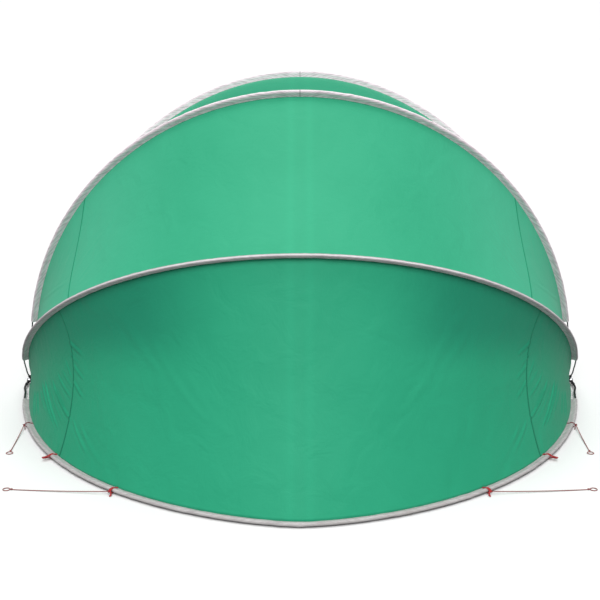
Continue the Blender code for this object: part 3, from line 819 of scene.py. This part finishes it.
# (length along, length round, phase) of the waves that crease a sleeve
SLEEVE_CREASES = ((0.052, 0.031, 0.9), (0.081, -0.024, 2.1), (0.117, 0.019, 4.4),
                  (0.034, -0.045, 5.2), (0.190, 0.040, 0.3))


def add_sleeve(hoop, material, crease):
    """Cloth folded round the pole, creased on the slant where the seam draws it in."""
    outer, inner = sleeve_outline()
    count = int((hoop.length - hoop.sleeve_start) / SLEEVE_STEP)
    half = np.linspace(hoop.sleeve_start, hoop.length, count)
    distance = np.concatenate((half, 2 * hoop.length - half[-2::-1]))
    share = distance / hoop.length
    around = distances_along(outer)
    s, c = distance[:, None] + hoop.lane * 0.37, around[None, :]
    swell = 0.6 + 0.4 * np.sin(2 * pi * s / 0.31 + hoop.lane)
    relief = crease * swell * sum(
        np.sin(2 * pi * (s / along + c / slant) + phase) for along, slant, phase in SLEEVE_CREASES)
    tail_share = smooth((outer[:, 0] - SLEEVE_TAIL * 0.30) / (SLEEVE_TAIL * 0.4))[None, :]
    sway = crease * 2.2 * swell * (
        np.sin(2 * pi * (s / 0.094 + outer[None, :, 0] / 0.030) + 0.7)
        + 0.7 * np.sin(2 * pi * (s / 0.061 - outer[None, :, 0] / 0.041) + 3.1))
    sway *= np.clip((SLEEVE_TAIL - outer[None, :, 0]) / 0.006, 0, 1) * tail_share
    grow = 1 + (1 - tail_share) * relief / SLEEVE_RADIUS
    block = []
    for row in (outer, inner):
        a = row[None, :, 0] * np.where(row[None, :, 0] < SLEEVE_TAIL * 0.5, grow, 1)
        b = row[None, :, 1] * grow + sway
        block.append(hoop.at(share[:, None], 1, a, b))
    rings = np.concatenate((block[0], block[1][:, ::-1]), axis=1)
    from_seam = np.minimum(around, around[-1] - around)
    uv = uv_grid(distance - hoop.length,
                 np.concatenate((from_seam, from_seam[::-1] + INNER_FACE_SHIFT)))
    name = hoop.name + "_sleeve"
    mesh = grid_mesh(name + "_cloth", rings, uv, wrap_columns=True)
    close_sleeve(mesh, len(distance), rings.shape[1])
    piece = link(mesh, material, 70)
    settle((piece,), hoop.body, name)
    return piece.name


def close_sleeve(mesh, stations, count):
    """Closes both ends between the outer and the inner face, leaving the bore open."""
    with editing(mesh) as shape:
        for start in (0, (stations - 1) * count):
            for i in range(count // 2 - 1):
                j = count - 1 - i
                corners = (start + i, start + i + 1, start + j - 1, start + j)
                shape.faces.new([shape.verts[k] for k in corners])


SLEEVES = {
    hoop: add_sleeve(hoop, material, crease)
    for hoop, material, crease in (
        (BACK, HEM, 0.00026), (REAR, REAR_SLEEVE, 0.00020), (MIDDLE, SLEEVE, 0.00028),
        (FRONT, SLEEVE, 0.00028), (DOOR, HEM, 0.00026))
}


# ---------------- the canopy
SAG_SKEW = 0.8          # how much deeper the sag is near the upper hoop
SAG_FADE = 0.75         # the cloth is stretched flatter at the crown than at the sides
SAG_FADE_FROM, SAG_FADE_OVER = 0.45, 0.45   # shares of a half length
PUCKER = 0.0009
PUCKER_REACH = 0.035
CREASE, CREASE_REACH = 0.0022, 0.02         # the canopy's fold line down its middle
MM = 0.001
FOLD_BEND = 0.02        # a fold's bow, as a share of its length
FOLD_TIP = 0.15         # how far a fold runs on past its ends
FOLD_FADE = 0.35        # how much of a fold it takes to rise to its height


class Gore:
    """The cloth between two hoops: share runs from hub to crown, v from the lower hoop up."""

    def __init__(self, name, lower, upper, sag, folds, seam, cloth, seam_cloth):
        self.cloth, self.seam_cloth = cloth, seam_cloth
        self.name, self.lower, self.upper = name, lower, upper
        self.sag, self.folds, self.seam = sag, folds, seam
        self.length = (lower.length + upper.length) / 2
        self.fan = float(np.arccos(np.clip(lower.out @ upper.out, -1, 1)))

    def ruled(self, share, side, v):
        low, high = (hoop.at(share, side, hoop.edge_setback(to_hub(share)), off)
                     for hoop, off in ((self.lower, CLOTH), (self.upper, -CLOTH)))
        return low + (high - low) * v[..., None]

    def chord(self, share, side):
        zero = np.zeros_like(share)
        return np.linalg.norm(self.ruled(share, side, zero + 1) - self.ruled(share, side, zero),
                              axis=-1)

    def normal(self, share, side, v):
        step = 0.002
        along = self.ruled(share + step, side, v) - self.ruled(share - step, side, v)
        across = self.ruled(share, side, v + step) - self.ruled(share, side, v - step)
        n = np.cross(along, across)
        n /= np.linalg.norm(n, axis=-1, keepdims=True)
        way_out = self.ruled(share, side, v) - INSIDE
        return n * np.sign((n * way_out).sum(-1, keepdims=True))

    def relief(self, share, side, v):
        """Height over the straight cloth: sag, pulls, puckers and the crease of its fold."""
        chord = self.chord(share, side)
        near = to_hub(share)
        distance = near * self.length
        sag = self.sag * (1 - SAG_FADE * smooth((near - SAG_FADE_FROM) / SAG_FADE_OVER))
        height = -sag * chord * 4 * v * (1 - v) * (1 + SAG_SKEW * (v - 0.5))
        x, y = distance * np.cos(v * self.fan), distance * np.sin(v * self.fan)
        for r0, v0, r1, v1, width, tall in self.folds:
            width, tall = width * MM, tall * MM
            x0, y0 = r0 * cos(v0 * self.fan), r0 * sin(v0 * self.fan)
            x1, y1 = r1 * cos(v1 * self.fan), r1 * sin(v1 * self.fan)
            length = np.hypot(x1 - x0, y1 - y0)
            t = ((x - x0) * (x1 - x0) + (y - y0) * (y1 - y0)) / length ** 2
            across = ((x - x0) * (y1 - y0) - (y - y0) * (x1 - x0)) / length
            bend = FOLD_BEND * length * np.sin(pi * np.clip(t, 0, 1))
            fade = (smooth((t + FOLD_TIP) / FOLD_FADE)
                    * smooth((1 + FOLD_TIP - t) / FOLD_FADE))
            near_line = ((across - bend) / width) ** 2
            height = height + tall * fade * (1 - 2 * near_line) * np.exp(-near_line)
        edge = np.minimum(v, 1 - v) * chord
        pucker = waves(distance, ((0.083, 0.5, 0.4), (0.041, 0.35, 2.0), (0.127, 0.6, 4.0)))
        height = height + (PUCKER * pucker * np.exp(-edge / PUCKER_REACH)
                           * smooth(edge / 0.006))
        from_crown = (1 - near) * self.lower.length
        return height + CREASE * np.exp(-from_crown / CREASE_REACH) * np.sin(pi * v) ** 0.5

    def surface(self, share, side, v, lift=0.0):
        height = self.relief(share, side, v) + lift
        return self.ruled(share, side, v) + self.normal(share, side, v) * height[..., None]


# pulls in the cloth, from (distance, v) to (distance, v), with width and height in mm
BACK_FOLDS = (
    (0.66, 0.49, 0.83, 0.19, 6.2, 5.4), (0.62, 0.48, 0.79, 0.19, 5.8, 4.1),
    (0.75, 0.50, 0.93, 0.27, 6.4, 5.1), (0.71, 0.48, 0.87, 0.23, 5, 2.4),
    (0.79, 0.46, 0.88, 0.34, 5.6, 3.4), (0.80, 0.56, 0.92, 0.41, 6, 3.7),
    (0.84, 0.59, 0.93, 0.47, 5.2, 2.4), (0.87, 0.66, 0.92, 0.54, 5.6, 2.4),
    (0.92, 0.77, 1.00, 0.68, 6.4, 4.4), (0.91, 0.70, 0.98, 0.62, 5.6, 2.4),
    (0.94, 0.61, 1.01, 0.53, 6, 3.7), (0.94, 0.51, 1.01, 0.42, 6, 4.1),
    (0.46, 0.36, 0.52, 0.08, 6, 2.4), (0.50, 0.38, 0.55, 0.12, 5.5, 2),
    (0.54, 0.39, 0.60, 0.16, 5.8, 2.6), (0.59, 0.42, 0.69, 0.24, 5.8, 2.4),
    (0.96, 0.26, 1.06, 0.12, 8, 2.4), (1.02, 0.24, 1.16, 0.08, 9, 2.4),
    (1.28, 0.78, 1.42, 0.55, 12, 2), (1.38, 0.72, 1.62, 0.34, 13, 2),
    (1.52, 0.56, 1.68, 0.30, 12, 1.7),
)
ROOF_FOLDS = (
    (0.34, 0.70, 0.62, 0.30, 10, 1.2), (0.50, 0.75, 0.86, 0.30, 12, 1.2),
    (0.98, 0.20, 1.16, 0.42, 10, 1), (0.98, 0.40, 1.20, 0.62, 11, 0.8),
)
FRONT_FOLDS = (
    (0.34, 0.30, 0.66, 0.60, 10, 1.4), (0.42, 0.60, 0.84, 0.36, 12, 1.4),
    (0.98, 0.30, 1.20, 0.46, 10, 1),
)


def back_seam(v):
    """How far from the hub, along the poles, the side seam of the back crosses the cloth."""
    return 0.885 + 0.052 * np.sin(pi * v) ** 0.75


def top_seam(v):
    return 0.957 - 0.058 * np.sin(pi * v) ** 0.8


GORES = (
    Gore("back_panel", BACK, REAR, 0.062, BACK_FOLDS, back_seam, BACK_CANOPY,
         BACK_CANOPY_SEAM),
    Gore("roof_panel", REAR, MIDDLE, 0.045, ROOF_FOLDS, top_seam, ROOF_CANOPY, CANOPY_SEAM),
    Gore("front_panel", MIDDLE, FRONT, 0.045, FRONT_FOLDS, top_seam, CANOPY, CANOPY_SEAM),
)


def gore_columns(gore):
    """Signed columns from the left hub over the crown to the right one, finer near the hubs."""
    stops = ((PANEL_START, FINE_FROM, HUB_STEP), (FINE_FROM, FINE_TO, FINE_STEP),
             (FINE_TO, gore.length, COARSE_STEP))
    runs = [np.linspace(a, b, int((b - a) / step) + 1)[:-1] for a, b, step in stops]
    half = np.concatenate((*runs, [gore.length])) / gore.length
    return np.concatenate((half, 2 - half[-2::-1]))


def set_blend(piece, weights, lower, upper):
    """The cloth follows the lower hoop at v 0 and the upper hoop at v 1."""
    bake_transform(piece, lower.body, upper.body, start=HUB, end=HUB + lower.up)
    attribute = piece.data.attributes["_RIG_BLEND"]
    attribute.data.foreach_set("value", weights.astype(np.float32).ravel())


def thicken(piece, thickness, offset=0.0):
    cloth = piece.modifiers.new("cloth", "SOLIDIFY")
    cloth.thickness = thickness
    cloth.offset = offset


def add_gore(gore):
    share = gore_columns(gore)
    share, v = np.meshgrid(share, np.linspace(0, 1, GORE_ROWS))
    points = gore.surface(share, 1, v)
    chord = gore.chord(share, 1)
    uv = np.stack(((share - 1) * gore.length, (v - 0.5) * chord), axis=-1)
    piece = link(grid_mesh(gore.name + "_cloth", points, uv), gore.cloth)
    outward_up(piece.data)
    set_blend(piece, v, gore.lower, gore.upper)
    thicken(piece, CLOTH)
    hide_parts(*(f"{gore.name}_{part}" for part in ("middle", "left", "right")))
    grid_area(gore.ruled(share, 1, v))
    add_gore_seams(gore)


def outward_up(mesh):
    """Turns an open sheet's faces away from the inside of the shelter."""
    face = mesh.polygons[len(mesh.polygons) // 2]
    if face.normal.dot(face.center - Vector(INSIDE)) < 0:
        mesh.flip_normals()


def grid_area(points):
    a, b = points[:-1, 1:] - points[:-1, :-1], points[1:, :-1] - points[:-1, :-1]
    c, d = points[1:, :-1] - points[1:, 1:], points[:-1, 1:] - points[1:, 1:]
    halves = np.linalg.norm(np.cross(a, b), axis=-1) + np.linalg.norm(np.cross(c, d), axis=-1)
    return float(halves.sum() / 2)


def add_gore_seams(gore):
    """The sewn seams where the side cloth meets the middle one, as raised strips."""
    made = []
    v = np.linspace(0.004, 0.996, 110)
    across = np.linspace(-0.5, 0.5, len(SEAM_RISE)) * SEAM_WIDTH
    share = (gore.seam(v)[:, None] + across) / gore.length
    rows = np.broadcast_to(v[:, None], share.shape)
    uv = uv_grid(v * float(gore.chord(np.array(0.6), 1)), across + SEAM_WIDTH / 2)
    for side, word in SIDES:
        points = gore.surface(share, side, rows, np.array(SEAM_RISE) + CLOTH)
        piece = link(grid_mesh(f"{gore.name}_seam_{word}", points, uv), gore.seam_cloth)
        outward_up(piece.data)
        set_blend(piece, rows, gore.lower, gore.upper)
        thicken(piece, CLOTH, -1.0)
        made.append(piece)
    return made


for gore in GORES:
    add_gore(gore)


# ---------------- the groundsheet
def floor_edge():
    """The sheet's edge, round from the left hub by the back to the right hub and the front."""
    def half(hoop):
        share = np.linspace(PANEL_START / hoop.length, 1, 110)
        share = np.concatenate((share, 2 - share[-2::-1]))
        near = to_hub(share)
        edge = hoop.at(share, -1, hoop.edge_setback(near) + 0.001)
        free = (near * hoop.length - PANEL_START) / (hoop.sleeve_start - PANEL_START)
        edge[:, 2] = FLOOR_CLOTH + (edge[:, 2] - FLOOR_CLOTH) * smooth(free)
        return edge

    back, front = half(BACK), half(DOOR)[::-1]
    steps = np.linspace(0, 1, 18)[1:-1, None]
    right = back[-1] + (front[0] - back[-1]) * steps
    left = front[-1] + (back[0] - front[-1]) * steps
    return np.concatenate((back, right, front, left))


def add_floor():
    """One sheet under the whole shelter, laid flat and sewn up to both ground sleeves."""
    edge = floor_edge()
    share = np.linspace(0, 1, FLOOR_RINGS + 1)[1:][:, None] ** 0.85
    centre = HUB * (1, 1, 0) + (0, 0, FLOOR_CLOTH)
    points = centre + (edge - centre)[None] * share[..., None]
    x, y = points[..., 0], points[..., 1]
    lie = smooth((share - 0.93) / 0.07)
    ripple = FLOOR_RIPPLE * (1 + waves(x * 0.8 + y * 0.6, ((0.31, 0.5, 0.2), (0.17, 0.3, 1.9)))
                             * waves(y - 0.4 * x, ((0.43, 0.6, 0.9), (0.23, 0.4, 3.3))))
    points[..., 2] = FLOOR_CLOTH + ripple * (1 - lie) + (edge[None, :, 2] - FLOOR_CLOTH) * lie
    columns = points.shape[1]
    middle = centre + (0, 0, FLOOR_RIPPLE)
    verts = np.concatenate((points.reshape(-1, 3), middle[None]))
    index = np.arange(FLOOR_RINGS * columns).reshape(FLOOR_RINGS, columns)
    after = np.roll(index, -1, axis=1)
    quads = np.stack((index[:-1], after[:-1], after[1:], index[1:]), axis=-1).reshape(-1, 4)
    fans = [(int(a), int(b), len(verts) - 1) for a, b in zip(after[0], index[0])]
    mesh = bpy.data.meshes.new("groundsheet")
    mesh.from_pydata(verts.tolist(), [], quads.tolist() + fans)
    layer = mesh.uv_layers.new(name="UVMap")
    corner = np.empty(len(mesh.loops), int)
    mesh.loops.foreach_get("vertex_index", corner)
    layer.data.foreach_set("uv", verts[corner][:, :2].astype(np.float32).ravel())
    piece = link(mesh, FLOOR_SHEET)
    if mesh.polygons[0].normal.z < 0:
        mesh.flip_normals()
    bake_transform(piece, "ground_frame", "front_base", start=HUB - (0, FLOOR_FOLD, 0),
             end=HUB + (0, FLOOR_FOLD, 0))
    thicken(piece, FLOOR_CLOTH, -1.0)
    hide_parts("back_base_floor", "front_base_floor")


add_floor()


# ---------------- floor and light
FLOOR_BOUNCE = 0.35     # how much light the floor gives back to the shelter, as if flagged off
FLOOR_SIZE = 3000.0     # half its side
FLOOR_GAP = 0.0002      # floor to the underside of the shelter
WORLD_LIGHT, WORLD_SEEN = 0.12, 1.0
SUN_WIDTH = 40
# (elevation, turn, strength) of each soft sun
SUNS = {"key": (46, 0, 2.35), "top": (102, 0, 1.20), "left": (52, 90, 0.36),
        "right": (52, -90, 0.36)}


def add_stage():
    mesh = bpy.data.meshes.new("studio_floor")
    corners = ((-1, -1), (1, -1), (1, 1), (-1, 1))
    mesh.from_pydata([(x * FLOOR_SIZE, y * FLOOR_SIZE, -FLOOR_GAP) for x, y in corners], [],
                     [(0, 1, 2, 3)])
    paint, at = new_material("studio_floor", "Object")
    soft = tint(noise(at, 0.6), (0.88, 0.88, 0.88), (0.90, 0.90, 0.90))
    color = mixed(camera_ray(paint.node_tree), (FLOOR_BOUNCE,) * 3, soft)
    link(mesh, finished(paint, color, 0.9, None, specular_ior_level=0.1))


def add_sun(name, elevation, turn, strength):
    """Broad, even light: elevation 0 is level from behind the camera, and 90 overhead."""
    data = bpy.data.lights.new(name, "SUN")
    data.energy, data.angle = strength, radians(SUN_WIDTH)
    put(name, data).rotation_euler = (radians(90 - elevation), 0, radians(-turn))


def add_world():
    """An even surround; what the camera sees of it is as pale as the floor."""
    world = bpy.data.worlds.new("studio")
    world.use_nodes = True
    tree = world.node_tree
    backdrop = tree.nodes["Background"]
    backdrop.inputs["Color"].default_value = (1, 1, 1, 1)
    tree.links.new(ranged(camera_ray(tree), 0.0, 1.0, WORLD_LIGHT, WORLD_SEEN),
                   backdrop.inputs["Strength"])
    bpy.context.scene.world = world


add_stage()
add_world()
for sun, place in SUNS.items():
    add_sun(sun, *place)
bpy.context.scene.view_settings.view_transform = "Standard"
